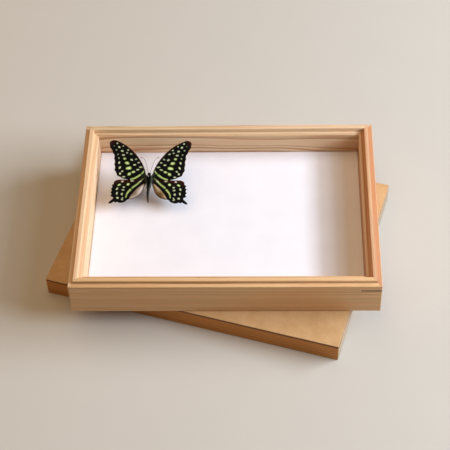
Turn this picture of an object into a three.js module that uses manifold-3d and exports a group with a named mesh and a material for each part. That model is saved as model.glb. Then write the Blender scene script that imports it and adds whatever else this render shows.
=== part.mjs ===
// Insect collection drawer: a shallow pine box lined with white foam, holding one pinned
// butterfly, and standing on its own lid, which is turned a little under it.
// Millimetres, +Z up. The origin is on the surface under the middle of the lid.

import * as THREE from 'three';
import { mergeVertices } from 'three/addons/utils/BufferGeometryUtils.js';
import Module from 'manifold-3d';

const wasm = await Module();
wasm.setup();

// Box and lid
const width = 330;
const depth = 236;
const cornerRadius = 1;
const mitreGap = 0.2;
const drawerHeight = 42;
const lidHeight = 23.5;
const boardThickness = 3;
const lidTurn = THREE.MathUtils.degToRad(-16);
const drawerOffset = [7, 6];
const restGap = 0.3;

// Wall section, from the outer face inwards: ledge, raised tongue, inner ledge
const ledgeWidth = 5;
const tongueWidth = 5;
const innerLedgeWidth = 5.5;
const wallThickness = ledgeWidth + tongueWidth + innerLedgeWidth;
const tongueHeight = 4;
const innerLedgeDrop = 1;
const panelThickness = 4;
const panelHousing = 8;
const lipClearance = 0.3;
const easedEdge = 0.5;

// Wooden keys let into the corners
const keyThickness = 1.5;
const keyLeg = 22;
const keyGap = 0.2;
const keyBelowRim = 6.4;
const keyTop = drawerHeight - keyBelowRim;

// Foam
const foamThickness = 10;
const foamClearance = 0.25;
const foamTop = panelThickness + foamThickness;

// Butterfly and pin: local x to the right wing, y to the head, z up from the wings
const thoraxPlace = [-88.6, 43.4, 34];
const butterflyTilt = THREE.MathUtils.degToRad(14);
const butterflyYaw = THREE.MathUtils.degToRad(-1.1);
const wingThickness = 0.4;
const foreWingLevel = 0.4;
const hindWingLevel = -0.4;
const pinRadius = 0.25;
const pinHeadRadius = 0.7;
const pinAbove = 9;
const pinBelow = 29;
const pinPoint = 2;
const pinPlace = -1.5;
const holeClearance = 0.3;
const pinHoleRadius = pinRadius + holeClearance;
const holeSides = 12;
const pinSides = 10;
const bodySides = 14;
const bodyHoleDepth = 12;
const antennaRadius = 0.2;
const clubRadius = 0.45;
const clubLength = 3;
const antennaSteps = 14;

const pine = { color: '#dcae7c', roughness: 0.6, metalness: 0 };
const hardboard = { color: '#cf9f66', roughness: 0.65, metalness: 0 };
const darkKey = { color: '#5c3418', roughness: 0.7, metalness: 0 };
const foam = { color: '#f4f2f4', roughness: 0.9, metalness: 0 };
const wing = { color: '#14110c', roughness: 0.7, metalness: 0 };
const body = { color: '#1c1712', roughness: 0.9, metalness: 0 };
const steel = { color: '#b9bbbd', roughness: 0.3, metalness: 1 };

function named(name, geometry, finish) {
  const mesh = new THREE.Mesh(geometry, new THREE.MeshStandardMaterial(finish));
  mesh.name = name;
  return mesh;
}

function toSolid(geometry) {
  const bare = geometry.clone();
  bare.deleteAttribute('normal');
  bare.deleteAttribute('uv');
  const merged = mergeVertices(bare, 1e-5);
  return new wasm.Manifold(new wasm.Mesh({
    numProp: 3,
    vertProperties: new Float32Array(merged.attributes.position.array),
    triVerts: new Uint32Array(merged.index.array),
  }));
}

function toGeometry(solid) {
  const mesh = solid.getMesh();
  const geometry = new THREE.BufferGeometry();
  geometry.setAttribute('position', new THREE.BufferAttribute(mesh.vertProperties, 3));
  geometry.setIndex(new THREE.BufferAttribute(mesh.triVerts, 1));
  geometry.computeVertexNormals();
  return geometry;
}

function polygon(points) {
  return new THREE.Shape(points.map(([x, y]) => new THREE.Vector2(x, y)));
}

function curveThrough(shape, points) {
  shape.splineThru(points.map(([x, y]) => new THREE.Vector2(x, y)));
}

function roundedRectangle(length, breadth, radius) {
  const x = length / 2;
  const y = breadth / 2;
  const shape = new THREE.Shape();
  shape.moveTo(radius - x, -y);
  shape.absarc(x - radius, radius - y, radius, -Math.PI / 2, 0);
  shape.absarc(x - radius, y - radius, radius, 0, Math.PI / 2);
  shape.absarc(radius - x, y - radius, radius, Math.PI / 2, Math.PI);
  shape.absarc(radius - x, radius - y, radius, Math.PI, 1.5 * Math.PI);
  return shape;
}

function plate(shape, bottom, thickness, curveSegments = 3) {
  const options = { depth: thickness, bevelEnabled: false, curveSegments };
  const geometry = new THREE.ExtrudeGeometry(shape, options);
  geometry.translate(0, 0, bottom);
  return geometry;
}

// One rail with mitred ends. The section is drawn as [distance in from the outer face, height],
// and each point of it is pulled back from the corner by its own distance.
function mitredRail(section, length, reach, quarterTurns) {
  const geometry = new THREE.ExtrudeGeometry(polygon(section), { depth: length, bevelEnabled: false });
  const position = geometry.attributes.position;
  for (let i = 0; i < position.count; i += 1) {
    const inward = position.getX(i);
    const height = position.getY(i);
    const end = position.getZ(i) > length / 2 ? 1 : -1;
    position.setXYZ(i, end * (length / 2 - inward - mitreGap / 2), inward - reach, height);
  }
  geometry.rotateZ(quarterTurns * Math.PI / 2);
  return geometry;
}

// Four rails round the rectangle, with their outer upright corners rounded
function rails(section, top, cutters) {
  const block = toSolid(plate(roundedRectangle(width, depth, cornerRadius), -1, top + 2));
  const sides = [
    ['front', width, depth / 2, 0],
    ['right', depth, width / 2, 1],
    ['back', width, depth / 2, 2],
    ['left', depth, width / 2, 3],
  ];
  return sides.map(([side, length, reach, quarterTurns]) => {
    let rail = toSolid(mitredRail(section, length, reach, quarterTurns)).intersect(block);
    for (const cutter of cutters) rail = rail.subtract(cutter);
    return [side, toGeometry(rail)];
  });
}

function drawerSection() {
  const e = easedEdge;
  const tongueStart = ledgeWidth;
  const tongueEnd = ledgeWidth + tongueWidth;
  const tongueTop = drawerHeight + tongueHeight;
  const innerLedge = drawerHeight - innerLedgeDrop;
  return [
    [0, e],
    [e, 0],
    [wallThickness - panelHousing, 0],
    [wallThickness - panelHousing, panelThickness],
    [wallThickness, panelThickness],
    [wallThickness, innerLedge - e],
    [wallThickness - e, innerLedge],
    [tongueEnd, innerLedge],
    [tongueEnd, tongueTop - e],
    [tongueEnd - e, tongueTop],
    [tongueStart + e, tongueTop],
    [tongueStart, tongueTop - e],
    [tongueStart, drawerHeight],
    [e, drawerHeight],
    [0, drawerHeight - e],
  ];
}

// The lid's outer lip comes down on the drawer's ledge, and the rest clears the tongue
function lidSection() {
  const e = easedEdge;
  const lip = ledgeWidth - lipClearance;
  const relief = tongueHeight + lipClearance;
  const railTop = lidHeight - boardThickness;
  return [
    [0, e],
    [e, 0],
    [lip, 0],
    [lip, relief],
    [wallThickness, relief],
    [wallThickness, railTop],
    [0, railTop],
  ];
}

function cornerKey(signX, signY, grow) {
  const x = width / 2;
  const y = depth / 2;
  const leg = keyLeg + grow;
  const corners = [[x, y], [x - leg, y], [x, y - leg]].map(([px, py]) => [signX * px, signY * py]);
  return plate(polygon(corners), keyTop - keyThickness - grow, keyThickness + 2 * grow);
}

const corners = [
  ['front_left', -1, -1, pine],
  ['front_right', 1, -1, darkKey],
  ['back_right', 1, 1, pine],
  ['back_left', -1, 1, pine],
];

function drawerBox() {
  const box = new THREE.Group();
  const kerfs = corners.map(([, signX, signY]) => toSolid(cornerKey(signX, signY, keyGap)));
  for (const [side, geometry] of rails(drawerSection(), drawerHeight + tongueHeight, kerfs)) {
    box.add(named(`drawer_side_${side}`, geometry, pine));
  }
  const roundedBlock = toSolid(plate(roundedRectangle(width, depth, cornerRadius), 0, drawerHeight));
  for (const [corner, signX, signY, finish] of corners) {
    const key = toSolid(cornerKey(signX, signY, 0)).intersect(roundedBlock);
    box.add(named(`corner_key_${corner}`, toGeometry(key), finish));
  }
  const panelInset = 2 * (wallThickness - panelHousing) + mitreGap;
  const panel = new THREE.BoxGeometry(width - panelInset, depth - panelInset, panelThickness - mitreGap);
  panel.translate(0, 0, (panelThickness - mitreGap) / 2);
  box.add(named('drawer_bottom', panel, hardboard));
  return box;
}

function lid() {
  const group = new THREE.Group();
  for (const [side, geometry] of rails(lidSection(), lidHeight, [])) {
    group.add(named(`lid_side_${side}`, geometry, pine));
  }
  const board = plate(
    roundedRectangle(width, depth, cornerRadius),
    lidHeight - boardThickness,
    boardThickness,
  );
  group.add(named('lid_board', board, hardboard));
  group.rotation.z = lidTurn;
  return group;
}

function placeLikeButterfly(object) {
  object.position.set(...thoraxPlace);
  object.rotation.set(butterflyTilt, 0, butterflyYaw);
  object.updateMatrix();
  return object;
}

// The foam lies wall to wall and has a fine hole where the pin stands in it
function foamSheet() {
  const inset = 2 * (wallThickness + foamClearance);
  const sheet = new THREE.BoxGeometry(width - inset, depth - inset, foamThickness);
  sheet.translate(0, 0, foamTop - foamThickness / 2);
  const holeDepth = pinBelow + holeClearance;
  const hole = new THREE.CylinderGeometry(pinHoleRadius, pinHoleRadius, holeDepth, holeSides);
  hole.rotateX(Math.PI / 2);
  hole.translate(0, pinPlace, -holeDepth / 2);
  hole.applyMatrix4(placeLikeButterfly(new THREE.Object3D()).matrix);
  return named('pinning_foam', toGeometry(toSolid(sheet).subtract(toSolid(hole))), foam);
}

// Leading edge, tip, outer edge and inner edge of the right forewing
function foreWingShape() {
  const shape = new THREE.Shape();
  shape.moveTo(3.2, 4.4);
  curveThrough(shape, [[5.1, 11], [9.6, 20], [17, 31.2], [26.8, 41.2], [37.5, 47.6]]);
  curveThrough(shape, [[42.6, 48.5], [46.4, 46.2], [47, 42.6]]);
  curveThrough(shape, [[44.4, 36], [41.6, 29.6], [40.7, 20], [40, 8.8], [36.2, 1.6]]);
  curveThrough(shape, [[30.6, -0.9], [21, -2.8], [10, -0.4], [4, 1.4]]);
  shape.closePath();
  return shape;
}

// Leading edge, outer edge, tail and inner edge of the right hindwing
function hindWingShape() {
  const shape = new THREE.Shape();
  shape.moveTo(3.1, 2);
  curveThrough(shape, [[12, 0.6], [24.5, -2.2], [35.2, -2.2], [39.6, -4.8]]);
  curveThrough(shape, [[41.8, -11.5], [42.2, -18], [41.6, -23.4]]);
  shape.lineTo(39.5, -25.8);
  shape.lineTo(44.3, -31.2);
  shape.lineTo(43.4, -32.3);
  curveThrough(shape, [[38.6, -29.9], [34, -30.6], [29.2, -31.2], [22.4, -26.9], [18.4, -26.6]]);
  curveThrough(shape, [[9.2, -20.4], [4.4, -10], [3.1, -2]]);
  shape.closePath();
  return shape;
}

// The same plate for the other side, with its faces turned outwards again
function mirrored(geometry) {
  const bare = geometry.clone();
  bare.scale(-1, 1, 1);
  const other = mergeVertices(bare, 1e-5);
  const order = other.index;
  for (let i = 0; i < order.count; i += 3) {
    const first = order.getX(i);
    order.setX(i, order.getX(i + 1));
    order.setX(i + 1, first);
  }
  return other;
}

// Head, thorax and abdomen, turned about the long axis, with a fine hole for the pin
function insectBody() {
  const profile = [
    [0, 6.8], [0.9, 6.6], [1.5, 5.6], [1.6, 4.6], [1.2, 3.7],
    [1.9, 2.6], [2.8, 0.4], [2.8, -2.6], [2.5, -5.4], [1.6, -8.6],
    [1.8, -12], [1.8, -17], [1.5, -24], [1, -29.2], [0.4, -31.6], [0, -32],
  ];
  const outline = profile.map(([radius, y]) => new THREE.Vector2(radius, y)).reverse();
  const turned = new THREE.LatheGeometry(outline, bodySides);
  const hole = new THREE.CylinderGeometry(pinHoleRadius, pinHoleRadius, bodyHoleDepth, holeSides);
  hole.rotateX(Math.PI / 2);
  hole.translate(0, pinPlace, 0);
  return named('butterfly_body', toGeometry(toSolid(turned).subtract(toSolid(hole))), body);
}

// A thin shaft that bends out to a small club at its end
function antenna(side, sign) {
  const path = new THREE.CatmullRomCurve3([
    new THREE.Vector3(sign * 1.1, 6.8, 0.9),
    new THREE.Vector3(sign * 2.1, 10.8, 1.7),
    new THREE.Vector3(sign * 3.6, 15.8, 2.3),
    new THREE.Vector3(sign * 5.3, 20.2, 2.6),
    new THREE.Vector3(sign * 8.2, 23.8, 2.8),
  ]);
  const section = new THREE.Shape();
  section.absarc(0, 0, antennaRadius, 0, 2 * Math.PI);
  const shaft = new THREE.ExtrudeGeometry(section, {
    extrudePath: path,
    steps: antennaSteps,
    curveSegments: 3,
    bevelEnabled: false,
  });
  const club = new THREE.SphereGeometry(clubRadius, 8, 6);
  club.scale(1, clubLength / (2 * clubRadius), 1);
  club.applyQuaternion(new THREE.Quaternion().setFromUnitVectors(
    new THREE.Vector3(0, 1, 0),
    path.getTangent(1),
  ));
  club.translate(...path.getPoint(1).toArray());
  return named(`antenna_${side}`, toGeometry(toSolid(shaft).add(toSolid(club))), body);
}

function pin() {
  const profile = [
    [0, -pinBelow],
    [pinRadius, pinPoint - pinBelow],
    [pinRadius, pinAbove - pinHeadRadius],
    [pinHeadRadius, pinAbove - 0.6 * pinHeadRadius],
    [pinHeadRadius, pinAbove - 0.3 * pinHeadRadius],
    [0, pinAbove],
  ];
  const outline = profile.map(([radius, y]) => new THREE.Vector2(radius, y));
  const turned = new THREE.LatheGeometry(outline, pinSides);
  turned.rotateX(Math.PI / 2);
  turned.translate(0, pinPlace, 0);
  return named('insect_pin', toGeometry(toSolid(turned)), steel);
}

function butterfly() {
  const group = placeLikeButterfly(new THREE.Group());
  const foreWing = plate(foreWingShape(), foreWingLevel - wingThickness / 2, wingThickness, 2);
  const hindWing = plate(hindWingShape(), hindWingLevel - wingThickness / 2, wingThickness, 2);
  group.add(insectBody());
  group.add(named('forewing_right', foreWing, wing));
  group.add(named('forewing_left', mirrored(foreWing), wing));
  group.add(named('hindwing_right', hindWing, wing));
  group.add(named('hindwing_left', mirrored(hindWing), wing));
  group.add(antenna('right', 1));
  group.add(antenna('left', -1));
  group.add(pin());
  return group;
}

const drawer = new THREE.Group();
drawer.add(drawerBox());
drawer.add(foamSheet());
drawer.add(butterfly());
drawer.position.set(...drawerOffset, lidHeight + restGap);

const object = new THREE.Group();
object.add(lid());
object.add(drawer);

export default object;
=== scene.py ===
import math
import random

import bmesh
import bpy
import numpy as np
from mathutils import Matrix, Vector, noise
from mathutils.geometry import delaunay_2d_cdt


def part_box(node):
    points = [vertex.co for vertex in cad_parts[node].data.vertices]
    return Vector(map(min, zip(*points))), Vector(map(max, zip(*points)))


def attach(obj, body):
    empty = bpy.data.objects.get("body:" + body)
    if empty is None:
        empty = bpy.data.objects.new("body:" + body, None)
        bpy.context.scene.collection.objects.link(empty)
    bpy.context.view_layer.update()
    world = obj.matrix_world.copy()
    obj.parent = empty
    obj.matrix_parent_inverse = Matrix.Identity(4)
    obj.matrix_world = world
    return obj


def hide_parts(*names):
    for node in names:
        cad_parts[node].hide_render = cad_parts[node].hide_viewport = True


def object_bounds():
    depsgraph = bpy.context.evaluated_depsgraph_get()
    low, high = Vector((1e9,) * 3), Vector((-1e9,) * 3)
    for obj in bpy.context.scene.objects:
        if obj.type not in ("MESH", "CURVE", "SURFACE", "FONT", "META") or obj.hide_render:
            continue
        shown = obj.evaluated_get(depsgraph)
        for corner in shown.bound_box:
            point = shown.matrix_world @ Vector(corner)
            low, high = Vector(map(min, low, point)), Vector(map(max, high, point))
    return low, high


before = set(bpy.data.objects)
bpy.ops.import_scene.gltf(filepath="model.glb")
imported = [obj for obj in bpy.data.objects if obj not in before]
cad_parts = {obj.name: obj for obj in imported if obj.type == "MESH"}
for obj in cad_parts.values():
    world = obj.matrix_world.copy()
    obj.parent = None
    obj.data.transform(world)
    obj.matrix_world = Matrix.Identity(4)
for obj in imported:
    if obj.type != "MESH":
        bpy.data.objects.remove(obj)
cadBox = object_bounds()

mm = 0.001
lidTurn = math.radians(-16)
print("frame loaded:", len(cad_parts), "nodes")


# sRGB hex to the linear colour that the shader wants
def hexColour(code):
    channels = [int(code[i:i + 2], 16) / 255 for i in (1, 3, 5)]
    linear = [c / 12.92 if c <= 0.04045 else ((c + 0.055) / 1.055) ** 2.4 for c in channels]
    return (*linear, 1.0)


# adds one node, sets its properties, then sets or links its sockets
def addNode(tree, kind, sockets=None, **properties):
    node = tree.nodes.new(kind)
    for name, value in properties.items():
        setattr(node, name, value)
    for socket, value in (sockets or {}).items():
        if isinstance(value, bpy.types.NodeSocket):
            tree.links.new(value, node.inputs[socket])
        else:
            node.inputs[socket].default_value = value
    return node


def setRamp(ramp, stops):
    elements = ramp.color_ramp.elements
    while len(elements) > 1:
        elements.remove(elements[-1])
    elements[0].position, elements[0].color = stops[0][0], hexColour(stops[0][1])
    for position, code in stops[1:]:
        elements.new(position).color = hexColour(code)


def newMaterial(name):
    material = bpy.data.materials.new(name)
    material.use_nodes = True
    tree = material.node_tree
    tree.nodes.clear()
    shader = addNode(tree, "ShaderNodeBsdfPrincipled")
    addNode(tree, "ShaderNodeOutputMaterial", {"Surface": shader.outputs["BSDF"]})
    return material, tree, shader


# object coordinates in millimetres, with the grain brought to run along x
def grainSpace(tree, turn, shift):
    place = addNode(tree, "ShaderNodeTexCoord").outputs["Object"]
    scaled = addNode(tree, "ShaderNodeVectorMath", {0: place, 1: (1000, 1000, 1000)}, operation="MULTIPLY")
    spun = addNode(tree, "ShaderNodeVectorRotate",
                   {"Vector": scaled.outputs[0], "Angle": -turn}, rotation_type="Z_AXIS")
    moved = addNode(tree, "ShaderNodeVectorMath", {0: spun.outputs[0], 1: shift}, operation="ADD")
    return moved.outputs[0]


pineLook = {
    "ringSpacing": 3.4,        # mm between growth rings
    "wander": 5.0,             # mm that the rings drift sideways along the board
    "early": "#EFD0A9",        # soft pale wood between rings
    "middle": "#E6C095",
    "late": "#C89562",         # hard dark line that ends each ring
    "blush": "#E8B38B",        # pinkish heartwood tint in long patches
    "ringContrast": 1.0,
    "faintest": 0.3,           # share of that contrast left in the faintest ring
    "roughness": 0.52,
    "fibre": 0.35,             # mm across one visible fibre streak
    "ringRelief": 0.06,        # mm that planing leaves the hard rings proud
}


# planed pine, clear matt finish: warm pale streaks with thin darker growth lines along each rail
def pineWood(name, turn=0.0, pith=(0, -90), shift=(0, 0, 0), **changes):
    look = {**pineLook, **changes}
    material, tree, shader = newMaterial(name)
    place = grainSpace(tree, turn, shift)
    drift = addNode(tree, "ShaderNodeVectorMath", {0: place, 1: (0.0045, 0.03, 0.03)}, operation="MULTIPLY")
    wander = addNode(tree, "ShaderNodeTexNoise",
                     {"Vector": drift.outputs[0], "Scale": 1.0, "Detail": 2.0, "Roughness": 0.45})
    centred = addNode(tree, "ShaderNodeVectorMath",
                      {0: wander.outputs["Color"], 1: (0.5, 0.5, 0.5)}, operation="SUBTRACT")
    reach = 2 * look["wander"]
    pushed = addNode(tree, "ShaderNodeVectorMath", {0: centred.outputs[0], 1: (0, reach, reach)},
                     operation="MULTIPLY")
    bent = addNode(tree, "ShaderNodeVectorMath", {0: place, 1: pushed.outputs[0]}, operation="ADD")
    fromPith = addNode(tree, "ShaderNodeVectorMath",
                       {0: bent.outputs[0], 1: (0, pith[0], pith[1])}, operation="SUBTRACT")
    across = addNode(tree, "ShaderNodeVectorMath", {0: fromPith.outputs[0], 1: (0, 1, 1)}, operation="MULTIPLY")
    radius = addNode(tree, "ShaderNodeVectorMath", {0: across.outputs[0]}, operation="LENGTH")
    rings = addNode(tree, "ShaderNodeMath",
                    {0: radius.outputs["Value"], 1: look["ringSpacing"]}, operation="DIVIDE")
    # rings are not all the same width
    uneven = addNode(tree, "ShaderNodeTexNoise",
                     {"W": rings.outputs[0], "Scale": 0.45, "Detail": 1.0}, noise_dimensions="1D")
    counted = addNode(tree, "ShaderNodeMath",
                      {0: uneven.outputs["Fac"], 1: 2.2, 2: rings.outputs[0]}, operation="MULTIPLY_ADD")
    phase = addNode(tree, "ShaderNodeMath", {0: counted.outputs[0]}, operation="FRACT")
    number = addNode(tree, "ShaderNodeMath", {0: counted.outputs[0]}, operation="FLOOR")
    strength = addNode(tree, "ShaderNodeTexWhiteNoise", {"W": number.outputs[0]}, noise_dimensions="1D")
    ringRamp = addNode(tree, "ShaderNodeValToRGB", {"Fac": phase.outputs[0]})
    setRamp(ringRamp, [(0.0, look["early"]), (0.45, look["middle"]), (0.8, look["late"]),
                       (0.93, look["late"]), (1.0, look["early"])])
    soften = addNode(tree, "ShaderNodeMapRange",
                     {"Value": strength.outputs["Value"], "To Min": look["faintest"] * look["ringContrast"],
                      "To Max": look["ringContrast"]})
    base = addNode(tree, "ShaderNodeMix", {"Factor": soften.outputs[0], "A": hexColour(look["middle"]),
                                           "B": ringRamp.outputs["Color"]}, data_type="RGBA")
    # long blushes of heartwood colour
    patch = addNode(tree, "ShaderNodeVectorMath", {0: place, 1: (0.008, 0.07, 0.07)}, operation="MULTIPLY")
    blush = addNode(tree, "ShaderNodeTexNoise", {"Vector": patch.outputs[0], "Scale": 1.0, "Detail": 2.0})
    blushed = addNode(tree, "ShaderNodeMapRange",
                      {"Value": blush.outputs["Fac"], "From Min": 0.45, "From Max": 0.75, "To Max": 0.55})
    warm = addNode(tree, "ShaderNodeMix", {"Factor": blushed.outputs[0], "A": base.outputs["Result"],
                                           "B": hexColour(look["blush"])}, data_type="RGBA")
    # fine fibre streaks, drawn a little coarser than real ones so that they show
    stretched = addNode(tree, "ShaderNodeVectorMath",
                        {0: place, 1: (0.03, 1 / look["fibre"], 1 / look["fibre"])}, operation="MULTIPLY")
    fibre = addNode(tree, "ShaderNodeTexNoise",
                    {"Vector": stretched.outputs[0], "Scale": 1.0, "Detail": 3.0, "Roughness": 0.6})
    streak = addNode(tree, "ShaderNodeMapRange",
                     {"Value": fibre.outputs["Fac"], "From Min": 0.3, "From Max": 0.7,
                      "To Min": 0.86, "To Max": 1.08})
    lit = addNode(tree, "ShaderNodeMix", {"Factor": 1.0, "A": warm.outputs["Result"],
                                          "B": streak.outputs[0]}, data_type="RGBA", blend_type="MULTIPLY")
    rough = addNode(tree, "ShaderNodeMapRange",
                    {"Value": fibre.outputs["Fac"], "To Min": look["roughness"] - 0.08,
                     "To Max": look["roughness"] + 0.14})
    relief = addNode(tree, "ShaderNodeMath",
                     {0: phase.outputs[0], 1: 0.6, 2: fibre.outputs["Fac"]}, operation="MULTIPLY_ADD")
    bump = addNode(tree, "ShaderNodeBump", {"Height": relief.outputs[0], "Strength": 0.35,
                                            "Distance": look["ringRelief"] * mm})
    tree.links.new(lit.outputs["Result"], shader.inputs["Base Color"])
    tree.links.new(rough.outputs[0], shader.inputs["Roughness"])
    tree.links.new(bump.outputs[0], shader.inputs["Normal"])
    shader.inputs["IOR"].default_value = 1.5
    return material


boardLook = {
    "face": "#CFA573",
    "pale": "#D4AC7B",
    "dark": "#C89D69",
    "edge": "#7E4E25",         # sawn edge, darker than the pressed face
    "mottle": 14.0,            # mm across one cloud of tone
    "fleck": 0.8,              # mm across one fibre fleck
    "roughness": 0.55,
}


# hardboard, pressed smooth: an even tan face with faint clouds and flecks, and a dark sawn edge
def pressedBoard(name, turn):
    look = boardLook
    material, tree, shader = newMaterial(name)
    place = grainSpace(tree, turn, (0, 0, 0))
    cloud = addNode(tree, "ShaderNodeTexNoise",
                    {"Vector": place, "Scale": 1 / look["mottle"], "Detail": 5.0, "Roughness": 0.62})
    face = addNode(tree, "ShaderNodeValToRGB", {"Fac": cloud.outputs["Fac"]})
    setRamp(face, [(0.3, look["dark"]), (0.5, look["face"]), (0.68, look["pale"])])
    matted = addNode(tree, "ShaderNodeVectorMath", {0: place, 1: (0.5, 1.6, 1.0)}, operation="MULTIPLY")
    fleck = addNode(tree, "ShaderNodeTexNoise",
                    {"Vector": matted.outputs[0], "Scale": 1 / look["fleck"], "Detail": 2.0})
    tone = addNode(tree, "ShaderNodeMapRange",
                   {"Value": fleck.outputs["Fac"], "From Min": 0.3, "From Max": 0.7,
                    "To Min": 0.93, "To Max": 1.06})
    flecked = addNode(tree, "ShaderNodeMix", {"Factor": 1.0, "A": face.outputs["Color"],
                                              "B": tone.outputs[0]}, data_type="RGBA", blend_type="MULTIPLY")
    normal = addNode(tree, "ShaderNodeNewGeometry").outputs["True Normal"]
    upward = addNode(tree, "ShaderNodeSeparateXYZ", {0: normal})
    flat = addNode(tree, "ShaderNodeMath", {0: upward.outputs["Z"]}, operation="ABSOLUTE")
    sawn = addNode(tree, "ShaderNodeMapRange",
                   {"Value": flat.outputs[0], "From Min": 0.3, "From Max": 0.9, "To Min": 1.0, "To Max": 0.0})
    edged = addNode(tree, "ShaderNodeMix", {"Factor": sawn.outputs[0], "A": flecked.outputs["Result"],
                                            "B": hexColour(look["edge"])}, data_type="RGBA")
    bump = addNode(tree, "ShaderNodeBump", {"Height": fleck.outputs["Fac"], "Strength": 0.25,
                                            "Distance": 0.05 * mm})
    tree.links.new(edged.outputs["Result"], shader.inputs["Base Color"])
    tree.links.new(bump.outputs[0], shader.inputs["Normal"])
    shader.inputs["Roughness"].default_value = look["roughness"]
    shader.inputs["IOR"].default_value = 1.5
    return material


foamLook = {
    "colour": "#F6F4F8",
    "shade": "#ECE9EE",
    "cell": 0.9,               # mm across one closed cell, drawn coarser than real ones so that it shows
    "roughness": 0.85,
    "edgeRadius": 0.9,         # mm
    "swell": 0.12,             # mm that the sheet rises and falls
}


# polyethylene foam, sliced: dead white and matt, with a fine skin of cut cells
def whiteFoam():
    look = foamLook
    material, tree, shader = newMaterial("closedCellFoam")
    place = grainSpace(tree, 0, (0, 0, 0))
    cells = addNode(tree, "ShaderNodeTexVoronoi", {"Vector": place, "Scale": 1 / look["cell"]})
    cloud = addNode(tree, "ShaderNodeTexNoise", {"Vector": place, "Scale": 1 / 30, "Detail": 3.0})
    tone = addNode(tree, "ShaderNodeMix", {"Factor": cloud.outputs["Fac"], "A": hexColour(look["colour"]),
                                           "B": hexColour(look["shade"])}, data_type="RGBA")
    bump = addNode(tree, "ShaderNodeBump", {"Height": cells.outputs["Distance"], "Strength": 0.3,
                                            "Distance": 0.08 * mm})
    tree.links.new(tone.outputs["Result"], shader.inputs["Base Color"])
    tree.links.new(bump.outputs[0], shader.inputs["Normal"])
    shader.inputs["Roughness"].default_value = look["roughness"]
    shader.inputs["IOR"].default_value = 1.5
    return material


steelLook = {"colour": "#C4C5C6", "roughness": 0.24, "drawLines": 0.05}


# stainless steel wire, drawn: bright with fine lines along it
def pinSteel():
    look = steelLook
    material, tree, shader = newMaterial("stainlessPinWire")
    place = grainSpace(tree, 0, (0, 0, 0))
    lines = addNode(tree, "ShaderNodeVectorMath",
                    {0: place, 1: (1 / look["drawLines"], 1 / look["drawLines"], 0.2)}, operation="MULTIPLY")
    drawn = addNode(tree, "ShaderNodeTexNoise", {"Vector": lines.outputs[0], "Scale": 1.0})
    rough = addNode(tree, "ShaderNodeMapRange", {"Value": drawn.outputs["Fac"],
                                                 "To Min": look["roughness"] - 0.06,
                                                 "To Max": look["roughness"] + 0.1})
    tree.links.new(rough.outputs[0], shader.inputs["Roughness"])
    shader.inputs["Base Color"].default_value = hexColour(look["colour"])
    shader.inputs["Metallic"].default_value = 1.0
    return material


def pieceFrom(name, mesh, material, slotName, *nodes):
    piece = bpy.data.objects.new(name, mesh)
    bpy.context.scene.collection.objects.link(piece)
    for one in material if isinstance(material, list) else [material]:
        mesh.materials.append(one)
    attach(piece, "root")
    if nodes:
        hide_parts(*nodes)
    return piece


softening = {"radius": 0.45, "segments": 3, "sharpAngle": 25}


# the same solid with its sharp arrises sanded round
def sandedCopy(nodeName, pieceName, material, slotName):
    work = bmesh.new()
    work.from_mesh(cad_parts[nodeName].data)
    bmesh.ops.remove_doubles(work, verts=work.verts, dist=0.01 * mm)
    bmesh.ops.dissolve_limit(work, angle_limit=math.radians(1), verts=work.verts, edges=work.edges)
    sharp = [e for e in work.edges
             if len(e.link_faces) == 2 and e.calc_face_angle() > math.radians(softening["sharpAngle"])]
    bmesh.ops.bevel(work, geom=sharp, offset=softening["radius"] * mm, offset_type="OFFSET",
                    segments=softening["segments"], profile=0.5, affect="EDGES", clamp_overlap=True)
    bmesh.ops.triangulate(work, faces=[f for f in work.faces if len(f.verts) > 4])
    bmesh.ops.recalc_face_normals(work, faces=work.faces)
    mesh = bpy.data.meshes.new(pieceName)
    work.to_mesh(mesh)
    work.free()
    piece = pieceFrom(pieceName, mesh, material, slotName, nodeName)
    for polygon in mesh.polygons:
        polygon.use_smooth = True
    mesh.set_sharp_from_angle(angle=math.radians(40))
    return piece


# each rail is cut from its own part of the log, and some rails' tints and grain also carry painted light and
# shade: pith is where the heart lies, in mm across and up
drawerRails = {
    # front rail: its darker, more saturated middle, late and blush tints are partly painted shade of its shaded
    # front face
    "front": {"turn": 0, "pith": (-30, -400), "shift": (40, 0, 7.8), "ringSpacing": 1.6, "faintest": 0.7,
              "early": "#F0CA9C", "middle": "#DDAD76", "late": "#9E6832", "wander": 1.0, "blush": "#D79C66"},
    "back": {"turn": 0, "pith": (40, 90), "shift": (310, 22, 0), "ringSpacing": 3.6, "wander": 6.0,
             "early": "#F2DDBA", "middle": "#E2C298", "late": "#AC6C3A", "faintest": 0.55},
    "left": {"turn": math.pi / 2, "pith": (250, -20), "shift": (90, 4, 0), "late": "#D8A679"},
    # right rail: the grain is shifted so a dark late ring lies on the inner ledge as painted shade and pale
    # early wood on the inner wall face as painted light; its orange late tint is partly painted shade
    "right": {"turn": math.pi / 2, "pith": (-400, 0), "shift": (520, 6.6, 3), "early": "#F0CCA2",
              "faintest": 0.85, "middle": "#E2AC80", "late": "#C4804F", "blush": "#DFA882",
              "ringSpacing": 10.0, "wander": 1.2},
}
lidRails = {
    # lid front rail: its dark, saturated orange tints are painted shade of its front face, which faces away
    # from the window
    "front": {"turn": lidTurn, "pith": (-80, -110), "shift": (730, 2, 0), "middle": "#C37D2C",
              "early": "#CE8D3E", "late": "#AA681F", "blush": "#C98338"},
    "back": {"turn": lidTurn, "pith": (60, -90), "shift": (990, 0, 1)},
    "left": {"turn": lidTurn + math.pi / 2, "pith": (240, -60), "shift": (200, 3, 5)},
    "right": {"turn": lidTurn + math.pi / 2, "pith": (-240, -70), "shift": (640, 6, 2), "early": "#AD9C80",
              "middle": "#A18F72", "late": "#8C7858"},
}

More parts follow.
